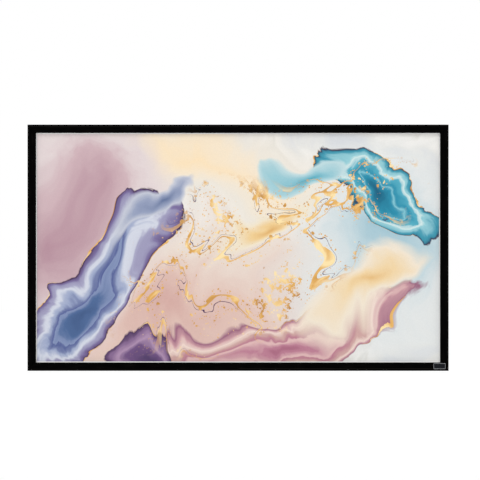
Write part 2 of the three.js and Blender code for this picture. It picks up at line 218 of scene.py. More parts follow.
def loft(bm, rings, distances=None, slots=(0, 0, 0)):
    # joins rings into one closed shell; a ring is [loop, hole, ...] of points in metres, and
    # slots are the material slots of the sides, the first cap and the last
    uvLayer = bm.loops.layers.uv.get("UVMap") or bm.loops.layers.uv.new("UVMap")
    made = []
    rows = [[[bm.verts.new(point) for point in loop] for loop in ring] for ring in rings]
    for r in range(len(rows) - 1):
        for h, loop in enumerate(rows[r]):
            travelled = 0
            for i in range(len(loop)):
                j = (i + 1) % len(loop)
                width = (rings[0][h][j] - rings[0][h][i]).length
                face = bm.faces.new((loop[i], loop[j], rows[r + 1][h][j], rows[r + 1][h][i]))
                for corner, (row, k, extra) in zip(face.loops, ((r, i, 0), (r, j, width),
                                                                (r + 1, j, width), (r + 1, i, 0))):
                    corner[uvLayer].uv = (distances[row][h][k] if distances else 0, travelled + extra)
                travelled += width
                face.material_index = slots[0]
                made.append(face)
    caps = []
    for row, ring, slot in ((rows[0], rings[0], slots[1]), (rows[-1], rings[-1], slots[2])):
        flat = [vert for loop in row for vert in loop]
        for triangle in tessellate_polygon(ring):
            face = bm.faces.new([flat[k] for k in triangle])
            face.material_index = slot
            caps.append(face)
    bmesh.ops.recalc_face_normals(bm, faces=made + caps)
    # edges inside a cap turn until no sliver is left between points in line
    edges = dict.fromkeys(edge for face in caps for edge in face.edges)
    inner = [edge for edge in edges if all(face in caps for face in edge.link_faces)]
    bmesh.ops.beautify_fill(bm, faces=caps, edges=inner, method="ANGLE")


def sweepSide(bm, side, rings, slot=0):
    # rings are (loops, s, lean): a mitred end leans along s by u
    solid = [[[place(side, p.x, p.y, s + lean * p.x) for p in loop] for loop in loops]
             for loops, s, lean in rings]
    along = [[[(s + lean * p.x) * mm for p in loop] for loop in loops] for loops, s, lean in rings]
    loft(bm, solid, along, (slot, slot, slot))


def addObject(name, data):
    added = bpy.data.objects.new(name, data)
    bpy.context.scene.collection.objects.link(added)
    return added


def meshObject(name, bm):
    mesh = bpy.data.meshes.new(name)
    bm.to_mesh(mesh)
    bm.free()
    return addObject(name, mesh)


def makePiece(name, bm, materials, sharpAngle=35):
    piece = meshObject(name, bm)
    for material in materials:
        piece.data.materials.append(material)
    piece.data.shade_smooth()
    piece.data.set_sharp_from_angle(angle=math.radians(sharpAngle))
    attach(piece, "root")
    return piece


# A Geometry Nodes tree that repeats one piece along a straight row


def makeRowTree():
    tree = bpy.data.node_groups.new("row of pieces", "GeometryNodeTree")
    interface = tree.interface
    interface.new_socket("Geometry", in_out="OUTPUT", socket_type="NodeSocketGeometry")
    interface.new_socket("Geometry", in_out="INPUT", socket_type="NodeSocketGeometry")
    for name, kind in (("Piece", "Object"), ("Count", "Int"), ("First", "Vector"),
                       ("Step", "Vector"), ("Turn", "Vector"), ("Finish", "Material")):
        interface.new_socket(name, in_out="INPUT", socket_type="NodeSocket" + kind)
    given = addNode(tree, "NodeGroupInput").outputs
    line = addNode(tree, "GeometryNodeMeshLine", {
        "Count": given["Count"], "Start Location": given["First"], "Offset": given["Step"]}, mode="OFFSET")
    source = addNode(tree, "GeometryNodeObjectInfo", {"Object": given["Piece"]})
    turned = addNode(tree, "FunctionNodeEulerToRotation", {"Euler": given["Turn"]})
    copies = addNode(tree, "GeometryNodeInstanceOnPoints", {
        "Points": line, "Instance": source.outputs["Geometry"], "Rotation": turned})
    solid = addNode(tree, "GeometryNodeRealizeInstances", {"Geometry": copies})
    painted = addNode(tree, "GeometryNodeSetMaterial", {"Geometry": solid, "Material": given["Finish"]})
    addNode(tree, "NodeGroupOutput", {"Geometry": painted})
    return tree


rowTree = makeRowTree()


def addRow(bm, source, side, finish, firstS, stepS, count, u=0):
    # runs the tree on a carrier and adds its result to bm as plain mesh
    carrier = addObject("row carrier", bpy.data.meshes.new("row carrier"))
    modifier = carrier.modifiers.new("row", "NODES")
    modifier.node_group = rowTree
    along = Vector(side["along"])
    first = Vector(side["inward"]) * (u - side["span"] / 2) + along * firstS
    values = {"Piece": source, "Count": count, "First": first * mm, "Step": along * stepS * mm,
              "Turn": (0, math.radians(side["turn"]), 0), "Finish": finish}
    for item in rowTree.interface.items_tree:
        if item.in_out == "INPUT" and item.name in values:
            modifier[item.identifier] = values[item.name]
    evaluated = carrier.evaluated_get(bpy.context.evaluated_depsgraph_get())
    mesh = bpy.data.meshes.new_from_object(evaluated)
    bm.from_mesh(mesh)
    bpy.data.objects.remove(carrier)
    bpy.data.meshes.remove(mesh)


def sourcePoint(u, v, s):
    # a source piece stands in the bottom side's section, with its u = 0 at the origin
    return Vector((s, railBackY - v, u)) * mm


# Rails: the aluminium extrusion, and the velvet glued round its face

rail = {
    "wall": 1.6,
    "seam": 0.3,  # at mitres and where half rails meet
    "shoulderWidth": 10.5, "shoulderDrop": 4, "revealSetback": 3,
    "edgeRadius": 2, "revealRadius": 1.5, "landRadius": 2.5,
    "noseBack": 14, "footWidth": 8,
    "boxWidth": 17, "outerFlange": 4.5, "slotWidth": 8, "channelDepth": 7.4,
    "grooveWidth": 5, "lipDepth": 4.5,
    "fillet": 0.35, "coreRadius": 1,  # the core is the metal under the velvet
    "velvet": 0.5, "velvetBite": 0.05,  # the metal reaches this far into the velvet
    "velvetOnFlange": 4.2, "velvetOnFoot": 6.5, "flangeRadius": 0.8, "footRadius": 0.6,
    "foldLength": 0.9, "foldDepth": 0.4, "foldGap": 0.004,  # the velvet rolls in and all but closes a seam
}
floorBack = rail["wall"] + rail["channelDepth"]
lipOuter = rail["boxWidth"] + rail["grooveWidth"]
lipEnd = floorBack - rail["lipDepth"]

# the wrap starts behind the outer flange, goes round the face and ends behind the foot
wrapPath = roundedPath([
    (rail["velvetOnFlange"], 0), (0, 0, rail["flangeRadius"]),
    (0, railDepth - rail["shoulderDrop"], rail["edgeRadius"]),
    (rail["shoulderWidth"], railDepth, rail["landRadius"]),
    (faceWidth - rail["revealSetback"], railDepth, rail["revealRadius"]),
    (faceWidth, rail["noseBack"], rail["footRadius"]),
    (faceWidth - rail["velvetOnFoot"], rail["noseBack"]),
], steps=6, closed=False)
wrapUnder = offsetPath(wrapPath, -rail["velvet"])[::-1]
wrapFace = [wrapPath + wrapUnder]
wrapFold = [offsetPath(wrapPath, -rail["foldDepth"]) + wrapUnder]
# the land begins this far along the path
creaseAt = pathLength([point for point in wrapPath if point.x <= rail["shoulderWidth"]])

# Knitted nylon velvet: a black that hardly answers light, with a faint bloom where the pile turns away
velvet, tree, shader, uv = newMaterial("velvetPile", {
    "Roughness": 1.0, "Specular IOR Level": 0.02, "Sheen Weight": 0.012, "Sheen Roughness": 0.4,
    "Sheen Tint": toLinear("#a8a59f")}, "strip")
strokes = drawnOut(tree, uv, (14, 60, 1), 3)  # marks 70 by 17 mm
# real tufts stand 0.2 mm apart, drawn as 1.5 mm clumps so that they show
clumps = addNode(tree, "ShaderNodeTexNoise", {"Vector": uv, "Scale": 650, "Detail": 4, "Roughness": 0.7})
tufts = addNode(tree, "ShaderNodeMath", {0: clumps, 1: 0.6}, operation="MULTIPLY")
pile = addNode(tree, "ShaderNodeMath", {0: strokes, 1: 0.4, 2: tufts}, operation="MULTIPLY_ADD")
pileToneAndHighlight = addNode(tree, "ShaderNodeValToRGB", {"Fac": pile}, stops=[
    (0.36, "#010101"), (0.48, "#030303"), (0.56, "#060505"), (0.66, "#0e0d0b")])
# painted highlight: a faint lighter line along the edge of the land, where the crease would catch the light
acrossStrip = addNode(tree, "ShaderNodeSeparateXYZ", {"Vector": uv}).outputs["Y"]
fromCrease = addNode(tree, "ShaderNodeMath", {0: acrossStrip, 1: creaseAt * mm}, operation="SUBTRACT")
creaseAway = addNode(tree, "ShaderNodeMath", {0: fromCrease}, operation="ABSOLUTE")
paintedCreaseHighlight = addNode(tree, "ShaderNodeMapRange", {"Value": creaseAway, "From Min": 2.5 * mm, "From Max": 0.0})
# the pile's tone, with the painted highlight of the crease mixed in
pileToneAndHighlight = addNode(tree, "ShaderNodeMix", {
    "Factor": paintedCreaseHighlight, "A": pileToneAndHighlight, "B": toLinear("#171614")}, data_type="RGBA")
pileBump = addNode(tree, "ShaderNodeBump", {"Height": clumps, "Strength": 0.6, "Distance": 0.0005})
setInputs(shader, {"Base Color": pileToneAndHighlight, "Normal": pileBump})

# Extruded aluminium as it leaves the die: bright grey with fine lines along its length
millAluminium, tree, shader, uv = newMaterial("extrudedAluminium", {"Metallic": 1.0}, "strip")
lineNoise = drawnOut(tree, uv, (3, 2500, 1), 2)  # lines 0.4 mm apart
toneAndGloss(tree, shader, lineNoise, [(0.3, "#8f9193"), (0.7, "#aeb0b2")], 0.28, 0.46, (0.3, 0.7))
lineBump = addNode(tree, "ShaderNodeBump", {"Height": lineNoise, "Strength": 0.3, "Distance": 0.00005})
setInputs(shader, {"Normal": lineBump})


def railSection():
    wall = rail["wall"]
    skin = rail["velvet"] - rail["velvetBite"]
    inner = rail["boxWidth"] - wall
    shelf = floorBack + wall
    landBack = railDepth - wall
    footFront = rail["noseBack"] + wall
    footBack = rail["noseBack"] + skin
    foot = faceWidth - rail["footWidth"]
    slotEnd = rail["outerFlange"] + rail["slotWidth"]
    shoulderStart = railDepth - rail["shoulderDrop"]
    shoulder = math.atan2(rail["shoulderDrop"], rail["shoulderWidth"])
    reveal = math.atan2(rail["revealSetback"], railDepth - rail["noseBack"])
    fillet = rail["fillet"]

    def revealAt(v, depth):
        return faceWidth - depth / math.cos(reveal) - (v - rail["noseBack"]) * math.tan(reveal)

    def shoulderAt(depth):
        return shoulderStart + depth * math.tan(shoulder) - depth / math.cos(shoulder)

    profile = [  # from the outer flange round the T-slot, the hook groove and the foot
        (skin, skin), (rail["outerFlange"], skin), (rail["outerFlange"], wall), (wall, wall),
        (wall, floorBack), (inner, floorBack), (inner, wall), (slotEnd, wall), (slotEnd, 0),
        (rail["boxWidth"], 0), (rail["boxWidth"], floorBack), (lipOuter, floorBack), (lipOuter, lipEnd),
        (lipOuter + wall, lipEnd), (lipOuter + wall, shelf), (rail["boxWidth"], shelf),
        (rail["boxWidth"], landBack), (revealAt(landBack, wall), landBack),
        (revealAt(footFront, wall), footFront), (foot, footFront), (foot, footBack),
    ]
    outer = roundedPath([(u, v, fillet) for u, v in profile] + [
        (revealAt(footBack, skin), footBack),
        (revealAt(railDepth - skin, skin), railDepth - skin, rail["coreRadius"]),
        (rail["shoulderWidth"] + skin * math.tan(shoulder / 2), railDepth - skin, rail["landRadius"]),
        (skin, shoulderAt(skin), rail["edgeRadius"]),
    ], steps=3)
    chamber = roundedPath([
        (wall, shelf, fillet), (wall, shoulderAt(wall), fillet),
        (rail["shoulderWidth"] + wall * math.tan(shoulder / 2), landBack, fillet),
        (inner, landBack, fillet), (inner, shelf, fillet),
    ], steps=3)
    return [outer, chamber]


def railSpans(seam):
    # each is (node, side, start, lean at the start, end, lean at the end)
    gap = seam / 2
    for name, side in sides.items():
        end = side["length"] / 2 - seam / math.sqrt(2)
        if name in ("left", "right"):
            yield f"{name}_rail", side, -end, 1, end, -1
        else:
            first, second = ("left", "right") if name == "bottom" else ("right", "left")
            yield f"{name}_rail_{first}", side, -end, 1, -gap, 0
            yield f"{name}_rail_{second}", side, gap, 0, end, -1


extrusions = bmesh.new()
wraps = bmesh.new()
section = railSection()
railNodes = []
for node, side, start, startLean, end, endLean in railSpans(rail["seam"]):
    sweepSide(extrusions, side, [(section, start, startLean), (section, end, endLean)])
    railNodes.append(node)
fold = rail["foldLength"]
for node, side, start, startLean, end, endLean in railSpans(rail["foldGap"]):
    sweepSide(wraps, side, [(wrapFold, start, startLean), (wrapFace, start + fold, startLean),
                            (wrapFace, end - fold, endLean), (wrapFold, end, endLean)])
extrusionPiece = makePiece("rail_extrusions", extrusions, [millAluminium])
velvetPiece = makePiece("velvet_wrap", wraps, [velvet])
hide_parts(*railNodes)
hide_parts(*railNodes)
print("rails done, velvet strip", round(pathLength(wrapPath), 1), "mm wide")

# Tension clips: moulded hooks that hold the fabric's rods to the rail's lip

clip = {
    "thickness": 1.7, "width": 26, "bend": 1.5, "heel": 1, "stepAngle": 60, "legGap": 0.8,
    "jawOpening": 70, "fit": 0.3, "across": 10, "up": 6, "endInset": 95,
    "edge": 0.35, "endRadius": 0.3,
    "ribWidth": 2.2, "ribHeight": 0.8, "ribSpread": 13, "ribEdge": 0.25, "ribBite": 0.15,
    "ribStart": 4,  # points of the jaw's path that a rib leaves free
}
cloth = {
    "thickness": 0.5, "front": rail["noseBack"] - 0.3,
    "notchEdge": faceWidth - rail["footWidth"] + 3, "foldStart": faceWidth - 2,
    "rodU": faceWidth - 12, "rodRadius": 2, "rodFit": 0.3, "rodEdge": 0.4, "rodFacets": 20,
    "weldLap": 1, "weldWidth": 10, "weldBack": 12.68, "weldRadius": 0.2, "weldBite": 0.05,
    "hemEndInset": 75, "notch": 21,  # half the open hem at a clip
}
pocketRadius = cloth["rodRadius"] + cloth["rodFit"] + cloth["thickness"] / 2
rodV = cloth["front"] - cloth["thickness"] / 2 - pocketRadius


def clipPlaces(side):
    count = clip["across"] if side["length"] == screenWidth else clip["up"]
    pitch = (side["length"] - 2 * clip["endInset"]) / count
    return [(i - (count - 1) / 2) * pitch for i in range(count)]


# Moulded black nylon: satin, with the faint mottle and orange skin that the tool leaves
nylon, tree, shader, point = newMaterial("mouldedNylon", {"IOR": 1.53})
flow = addNode(tree, "ShaderNodeTexNoise", {"Vector": point, "Scale": 160, "Detail": 3})  # 6 mm flow marks
toneAndGloss(tree, shader, flow, [(0.3, "#18191b"), (0.7, "#212225")], 0.4, 0.6)
skinNoise = addNode(tree, "ShaderNodeTexNoise", {"Vector": point, "Scale": 1400, "Detail": 2})  # 0.7 mm
skinBump = addNode(tree, "ShaderNodeBump", {"Height": skinNoise, "Strength": 0.25, "Distance": 0.00006})
setInputs(shader, {"Normal": skinBump})


def clipPaths():
    # the whole strip, its jaw alone and its arm alone
    grip = cloth["rodRadius"] + clip["fit"] + clip["thickness"] / 2
    armV = lipEnd - clip["fit"] - clip["thickness"] / 2
    legU = lipOuter - clip["fit"] - clip["thickness"] / 2
    bend = clip["bend"]
    step = math.radians(clip["stepAngle"])
    opening = math.radians(clip["jawOpening"])
    slope = (rodV - grip - armV - 2 * bend * (1 - math.cos(step))) / math.sin(step)
    armStart = cloth["rodU"] - clip["heel"] - 2 * bend * math.sin(step) - slope * math.cos(step)
    start = (cloth["rodU"] + grip * math.cos(opening), rodV + grip * math.sin(opening))
    heading = clip["jawOpening"] - 90
    jaw = [("turn", -90 - clip["jawOpening"], grip)]
    stepDown = [("go", clip["heel"]), ("turn", clip["stepAngle"], bend), ("go", slope),
                ("turn", -clip["stepAngle"], bend)]
    hook = [("go", armStart - legU - bend), ("turn", -90, bend),
            ("go", floorBack - clip["legGap"] - armV - bend)]
    return (bentPath(start, heading, jaw + stepDown + hook), bentPath(start, heading, jaw),
            bentPath((armStart, armV), 180, hook))


def addFlatForm(bm, outlineAt, low, high, edge):
    # a flat form from s = low to high, its edges taken off; outlineAt gives the outline for an inset
    rings = [(outlineAt(edge), low), (outlineAt(0), low + edge),
             (outlineAt(0), high - edge), (outlineAt(edge), high)]
    loft(bm, [[[sourcePoint(p.x, p.y, s) for p in outline]] for outline, s in rings])


def makeClip():
    bm = bmesh.new()
    body, jaw, arm = clipPaths()
    half = clip["width"] / 2
    addFlatForm(bm, lambda inset: stripOutline(body, clip["thickness"] - 2 * inset, clip["endRadius"]),
                -half, half, clip["edge"])
    outer = clip["thickness"] / 2 + clip["ribHeight"]
    first = clip["ribStart"]
    ribTop = offsetPath(jaw[first:], outer) + offsetPath(arm[:-1], outer)
    ribFoot = offsetPath(body[first:-1], clip["thickness"] / 2 - clip["ribBite"])[::-1]
    half = clip["ribWidth"] / 2
    for middle in (-clip["ribSpread"] / 2, clip["ribSpread"] / 2):
        addFlatForm(bm, lambda inset: offsetPath(ribTop, -inset) + ribFoot,
                    middle - half, middle + half, clip["ribEdge"])
    return meshObject("clip source", bm)


clipSource = makeClip()
clips = bmesh.new()
clipNodes = []
for name, side in sides.items():
    places = clipPlaces(side)
    addRow(clips, clipSource, side, nylon, places[0], places[1] - places[0], len(places))
    clipNodes += [f"tension_clip_{name}_{i + 1}" for i in range(len(places))]
bpy.data.objects.remove(clipSource)
clipPiece = makePiece("tension_clips", clips, [nylon], 40)
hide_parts(*clipNodes)
print("clips done,", len(clipNodes))

# Tension rods in the hem's pockets

# Pultruded glass fibre: honey-coloured resin with pale fibre streaks along the rod
glassFibre, tree, shader, uv = newMaterial("pultrudedGlassFibre", {"IOR": 1.5, "Roughness": 0.4}, "strip")
fibreNoise = drawnOut(tree, uv, (12, 2200, 1), 3)  # streaks 0.45 mm wide
fibreTone = addNode(tree, "ShaderNodeValToRGB", {"Fac": fibreNoise}, stops=[
    (0.3, "#c3b486"), (0.5, "#d8cfae"), (0.7, "#e9e4d0")])
fibreBump = addNode(tree, "ShaderNodeBump", {"Height": fibreNoise, "Strength": 0.35, "Distance": 0.00008})
setInputs(shader, {"Base Color": fibreTone, "Normal": fibreBump})

rods = bmesh.new()
rodNodes = [f"tension_rod_{spot}" for spot in (
    "top_left", "top_right", "bottom_left", "bottom_right", "left", "right")]
rodEdge = cloth["rodEdge"]
rodEnd = [circlePath(cloth["rodU"], rodV, cloth["rodRadius"] - rodEdge, cloth["rodFacets"])]
rodBody = [circlePath(cloth["rodU"], rodV, cloth["rodRadius"], cloth["rodFacets"])]
for node in rodNodes:
    side = sides[node.split("_")[2]]
    start, end = sorted(corner.dot(Vector(side["along"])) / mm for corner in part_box(node))
    sweepSide(rods, side, [(rodEnd, start, 0), (rodBody, start + rodEdge, 0),
                           (rodBody, end - rodEdge, 0), (rodEnd, end, 0)])
rodPiece = makePiece("tension_rods", rods, [glassFibre])
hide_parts(*rodNodes)
print("rods done")

# Projection fabric: one sheet whose hems are folded round the rods and welded


def vinylEmboss(tree, point, strength):
    # leathery cells, drawn 1.4 mm wide for a real 0.3 mm
    cells = addNode(tree, "ShaderNodeTexVoronoi", {"Vector": point, "Scale": 700})
    return addNode(tree, "ShaderNodeBump", {"Height": cells, "Strength": strength, "Distance": 0.00008})


# Calendered vinyl: matt off-white with a fine leathery emboss that keeps it from glinting
matteVinyl, tree, shader, point = newMaterial("calenderedVinyl", {
    "Roughness": 0.85, "Specular IOR Level": 0.3})
haze = addNode(tree, "ShaderNodeTexNoise", {"Vector": point, "Scale": 4, "Detail": 3})  # 250 mm clouds
hazeTone = addNode(tree, "ShaderNodeValToRGB", {"Fac": haze}, stops=[(0.3, "#dbdad8"), (0.7, "#e1e0de")])
setInputs(shader, {"Base Color": hazeTone, "Normal": vinylEmboss(tree, point, 0.25)})

# Hot-bar welded vinyl: a shade glossier, with the bar's knurl across the hem
weldedVinyl, tree, shader, uv = newMaterial("weldedVinyl", {
    "Roughness": 0.6, "Specular IOR Level": 0.4}, "strip")
knurl = addNode(tree, "ShaderNodeTexChecker", {  # 1.2 mm squares
    "Vector": uv, "Scale": 830, "Color1": toLinear("#cbcac7"), "Color2": toLinear("#dbdad7")})
knurlBump = addNode(tree, "ShaderNodeBump", {
    "Height": knurl.outputs["Fac"], "Strength": 0.4, "Distance": 0.0002})
setInputs(shader, {"Base Color": knurl, "Normal": knurlBump})

# Ink-printed vinyl: an abstract of ink washes and pools on pale marbling, as matt as the fabric.
# A pool has a middle, radii and a turn on the sheet, how far its edge fades, and colours from the middle out
inkPrint = {
    "margin": 5,  # left bare beside the frame
    # size of the swirls, and their push
    "drift": (900, 470), "ripple": (260, 140), "fray": (75, 0.34),
    "pools": [
        ((-250, -330), (800, 280), -10, 0.8, [(0, "#cfa79f"), (0.5, "#dcbfb4"), (1, "#e4d6cb")]),
        ((-250, 430), (720, 220), 6, 0.7, [(0, "#f4dcb6"), (0.6, "#efe0c9"), (1, "#e7e0d4")]),
        ((880, 60), (430, 430), 0, 0.7, [(0, "#9cbfcc"), (0.6, "#bed1d7"), (1, "#dbdfdf")]),
        ((-960, 160), (360, 420), 0, 0.7, [(0, "#b08a97"), (0.6, "#c9adb3"), (1, "#ddd0d0")]),
        ((-830, -250), (560, 210), -48, 0.025, [
            (0, "#3d5682"), (0.25, "#4a6592"), (0.42, "#8290b5"), (0.47, "#505c90"), (0.6, "#98a3c2"),
            (0.72, "#cfd3df"), (0.8, "#a5a4c0"), (0.93, "#776b99"), (0.975, "#55406b"), (1, "#301737")]),
        ((250, -430), (760, 130), -12, 0.08, [
            (0, "#a3627a"), (0.22, "#b87d90"), (0.4, "#dbb6b4"), (0.46, "#b5778a"), (0.62, "#c9a29d"),
            (0.78, "#ead5ca"), (0.9, "#cb9da2"), (1, "#95607a")]),
        ((800, 330), (440, 190), 32, 0.025, [
            (0, "#0d5b79"), (0.2, "#136d8a"), (0.38, "#2389a6"), (0.44, "#83c2ce"), (0.5, "#2a8ca8"),
            (0.66, "#54abbf"), (0.74, "#cfe3e2"), (0.82, "#93c9d2"), (0.94, "#3a93aa"),
            (0.985, "#294f68"), (1, "#301737")]),
        ((330, 480), (210, 70), -10, 0.2, [(0, "#4ba6bb"), (0.6, "#92c3ce"), (1, "#bcd6da")]),
        ((-380, -500), (260, 95), 8, 0.05, [
            (0, "#4a3862"), (0.4, "#6b4e7c"), (0.6, "#a98bab"), (0.85, "#7f6189"), (1, "#3f2650")]),
        ((-520, 130), (230, 60), -34, 0.3, [(0, "#5f7096"), (0.6, "#929cb8"), (1, "#bfc3d0")]),
        ((720, -190), (260, 90), -24, 0.6, [(0, "#e2b97c"), (0.5, "#ebd0a2"), (1, "#ebdfcc")]),
        ((90, 130), (210, 60), -38, 0.5, [(0, "#dcab66"), (0.45, "#eac98f"), (1, "#ebdfc7")]),
    ],
    "tides": 9,  # rings from a pool's middle to its edge
    "tideDepth": 0.011,
    "crispEdge": 0.1,  # edges this crisp carry gold in parts
    "giltAt": 1.01, "giltWidth": 0.022, "giltSize": 200,
    "goldMiddle": (220, 60), "goldRadii": (1000, 400), "goldTurn": -27,  # the oval with veins and leaf
    "veinSize": 430, "veinWidth": (0.0005, 0.013), "veinFringe": 0.05,
    "hairlineAt": -0.016, "hairlineWidth": 0.0009,
    "leafPatch": 300, "leafEdge": 40, "leafFrom": 0.98, "leafFringe": 0.92,
    "flakes": ((11, 0.35), (26, 0.6)), "flakeReach": 0.42,  # flake size, and the share left out
}
picture, tree, shader, point = newMaterial("inkPrintedVinyl", {"Roughness": 0.75, "Specular IOR Level": 0.3})


def swirled(at, size, push):
    # the point pushed about in the plane of the sheet
    noise = addNode(tree, "ShaderNodeTexNoise", {"Vector": at, "Scale": 1 / (size * mm), "Detail": 2})
    centred = addNode(tree, "ShaderNodeVectorMath", {
        0: noise.outputs["Color"], 1: (0.5, 0.5, 0.5)}, operation="SUBTRACT")
    reach = (2 * push * mm, 0, 2 * push * mm)
    return addNode(tree, "ShaderNodeVectorMath", {0: centred, 1: reach, 2: at}, operation="MULTIPLY_ADD")


def ovalDistance(at, middle, radii, turn):
    # 0 at the middle of an oval on the sheet, and 1 at its edge
    local = addNode(tree, "ShaderNodeMapping", {
        "Vector": at, "Location": (middle[0] * mm, 0, middle[1] * mm), "Rotation": (0, math.radians(turn), 0),
        "Scale": (radii[0] * mm, 1, radii[1] * mm)}, vector_type="TEXTURE")
    return addNode(tree, "ShaderNodeVectorMath", {0: local}, operation="LENGTH")


def layPool(below, middle, radii, turn, edge, bands):
    # one pool over what is below; its bands follow the distance from its middle, with fine tide marks
    away = ovalDistance(rippled, middle, radii, turn)
    frayed = addNode(tree, "ShaderNodeMath", {0: away, 1: fray}, operation="ADD")
    tidesRound = inkPrint["tides"] * 2 * math.pi
    phase = addNode(tree, "ShaderNodeMath", {0: frayed, 1: tidesRound}, operation="MULTIPLY")
    tide = addNode(tree, "ShaderNodeMath", {0: phase}, operation="SINE")
    ringed = addNode(tree, "ShaderNodeMath", {
        0: tide, 1: inkPrint["tideDepth"], 2: frayed}, operation="MULTIPLY_ADD")
    ink = addNode(tree, "ShaderNodeValToRGB", {"Fac": ringed}, stops=bands)
    inside = addNode(tree, "ShaderNodeMapRange", {"Value": frayed, "From Min": 1 + edge, "From Max": 1})
    laid = addNode(tree, "ShaderNodeMix", {"Factor": inside, "A": below, "B": ink}, data_type="RGBA")
    if edge > inkPrint["crispEdge"]:
        return laid
    gilt = addNode(tree, "ShaderNodeMath", {
        0: frayed, 1: inkPrint["giltAt"], 2: giltWidth}, operation="COMPARE")
    return addNode(tree, "ShaderNodeMix", {"Factor": gilt, "A": laid, "B": goldTone}, data_type="RGBA")


def layInOval(where, colour, below):
    # a colour over what is below, only within the oval of the gold
    share = addNode(tree, "ShaderNodeMath", {0: where, 1: inOval}, operation="MULTIPLY")
    return addNode(tree, "ShaderNodeMix", {"Factor": share, "A": below, "B": colour}, data_type="RGBA")


drifted = swirled(point, *inkPrint["drift"])
rippled = swirled(drifted, *inkPrint["ripple"])
fraySize, frayReach = inkPrint["fray"]
frayNoise = addNode(tree, "ShaderNodeTexNoise", {
    "Vector": rippled, "Scale": 1 / (fraySize * mm), "Detail": 4})
fray = addNode(tree, "ShaderNodeMapRange", {
    "Value": frayNoise, "To Min": -frayReach / 2, "To Max": frayReach / 2})
goldTone = addNode(tree, "ShaderNodeValToRGB", {"Fac": frayNoise}, stops=[
    (0.35, "#b98442"), (0.5, "#e0ad60"), (0.65, "#f7dfa8")])
giltNoise = addNode(tree, "ShaderNodeTexNoise", {  # each W is another pattern
    "Vector": drifted, "W": 8.1, "Scale": 1 / (inkPrint["giltSize"] * mm), "Detail": 2,
}, noise_dimensions="4D")
giltWidth = addNode(tree, "ShaderNodeMapRange", {
    "Value": giltNoise, "From Min": 0.48, "From Max": 0.62, "To Max": inkPrint["giltWidth"]})
marble = addNode(tree, "ShaderNodeTexNoise", {"Vector": rippled, "Scale": 2.4, "Detail": 5})  # 420 mm clouds
art = addNode(tree, "ShaderNodeValToRGB", {"Fac": marble}, stops=[
    (0.3, "#cfd2d8"), (0.4, "#e2e1dd"), (0.47, "#edebe7"), (0.52, "#dcdad4"), (0.58, "#e9e8e4"),
    (0.7, "#dfdde0")])
for pool in inkPrint["pools"]:
    art = layPool(art, *pool)

# gold veins, and a dark hairline beside them
goldAway = ovalDistance(drifted, inkPrint["goldMiddle"], inkPrint["goldRadii"], inkPrint["goldTurn"])
inOval = addNode(tree, "ShaderNodeMapRange", {"Value": goldAway, "From Min": 1.0, "From Max": 0.75})
veinNoise = addNode(tree, "ShaderNodeTexNoise", {
    "Vector": rippled, "W": 5.2, "Scale": 1 / (inkPrint["veinSize"] * mm), "Detail": 3,
}, noise_dimensions="4D")
veinOff = addNode(tree, "ShaderNodeMath", {0: veinNoise, 1: 0.5}, operation="SUBTRACT")
veinAway = addNode(tree, "ShaderNodeMath", {0: veinOff}, operation="ABSOLUTE")
thinnest, widest = inkPrint["veinWidth"]
veinWidth = addNode(tree, "ShaderNodeMapRange", {
    "Value": frayNoise, "From Min": 0.3, "From Max": 0.7, "To Min": thinnest, "To Max": widest})
vein = addNode(tree, "ShaderNodeMath", {0: veinAway, 1: veinWidth}, operation="LESS_THAN")
hairline = addNode(tree, "ShaderNodeMath", {
    0: veinOff, 1: inkPrint["hairlineAt"], 2: inkPrint["hairlineWidth"]}, operation="COMPARE")
art = layInOval(hairline, toLinear("#4a2f55"), art)
art = layInOval(vein, goldTone, art)

# ragged patches of leaf, and loose flakes beside them and the veins
patchNoise = addNode(tree, "ShaderNodeTexNoise", {
    "Vector": drifted, "W": 2.2, "Scale": 1 / (inkPrint["leafPatch"] * mm), "Detail": 1,
}, noise_dimensions="4D")
edgeNoise = addNode(tree, "ShaderNodeTexNoise", {
    "Vector": point, "Scale": 1 / (inkPrint["leafEdge"] * mm), "Detail": 6, "Roughness": 0.7})
ragged = addNode(tree, "ShaderNodeMath", {0: edgeNoise, 1: 0.6, 2: patchNoise}, operation="MULTIPLY_ADD")
leaf = addNode(tree, "ShaderNodeMath", {0: ragged, 1: inkPrint["leafFrom"]}, operation="GREATER_THAN")
art = layInOval(leaf, goldTone, art)
byVein = addNode(tree, "ShaderNodeMath", {0: veinAway, 1: inkPrint["veinFringe"]}, operation="LESS_THAN")
byLeaf = addNode(tree, "ShaderNodeMath", {0: ragged, 1: inkPrint["leafFringe"]}, operation="GREATER_THAN")
beside = addNode(tree, "ShaderNodeMath", {0: byVein, 1: byLeaf}, operation="MAXIMUM")
for size, leftOut in inkPrint["flakes"]:
    crumpled = swirled(point, 1.4 * size, 0.6 * size)
    cells = addNode(tree, "ShaderNodeTexVoronoi", {"Vector": crumpled, "Scale": 1 / (size * mm)})
    pick = addNode(tree, "ShaderNodeSeparateXYZ", {"Vector": cells.outputs["Color"]}).outputs["X"]
    reach = addNode(tree, "ShaderNodeMapRange", {
        "Value": pick, "From Min": leftOut, "To Max": inkPrint["flakeReach"]})
    flake = addNode(tree, "ShaderNodeMath", {0: cells, 1: reach}, operation="LESS_THAN")
    loose = addNode(tree, "ShaderNodeMath", {0: flake, 1: beside}, operation="MULTIPLY")
    art = layInOval(loose, goldTone, art)

# pigment grain, 6 mm and finer
grainNoise = addNode(tree, "ShaderNodeTexNoise", {"Vector": point, "Scale": 160, "Detail": 4})
grainValue = addNode(tree, "ShaderNodeMapRange", {"Value": grainNoise, "To Min": 0.94, "To Max": 1.06})
art = addNode(tree, "ShaderNodeHueSaturation", {"Color": art, "Value": grainValue})

